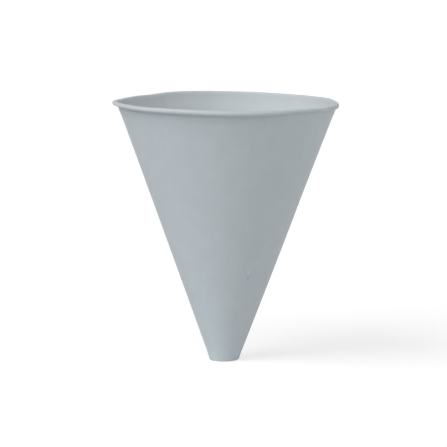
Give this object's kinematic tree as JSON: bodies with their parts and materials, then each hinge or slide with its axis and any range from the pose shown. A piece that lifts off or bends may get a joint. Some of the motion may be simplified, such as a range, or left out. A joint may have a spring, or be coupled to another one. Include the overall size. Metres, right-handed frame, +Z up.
{
  "type": "cone paper cup",
  "caption": "Paper drinking cup wrapped from one sheet into a cone, with a rolled rim, a lapped and glued side seam and a small flat blunt tip.",
  "frame": {"origin": "middle of the tip's flat end, on the surface that the cup stands on", "axes": "+Z up the axis of the cone to the open mouth, -Y towards the viewer; the lapped seam faces back and left, between +Y and -X"},
  "size_m": [0.0985, 0.0987, 0.1135],
  "materials": {
    "paper": "matte"
  },
  "bodies": {
    "root": {"paper_cone": "paper"}
  },
  "joints": []
}
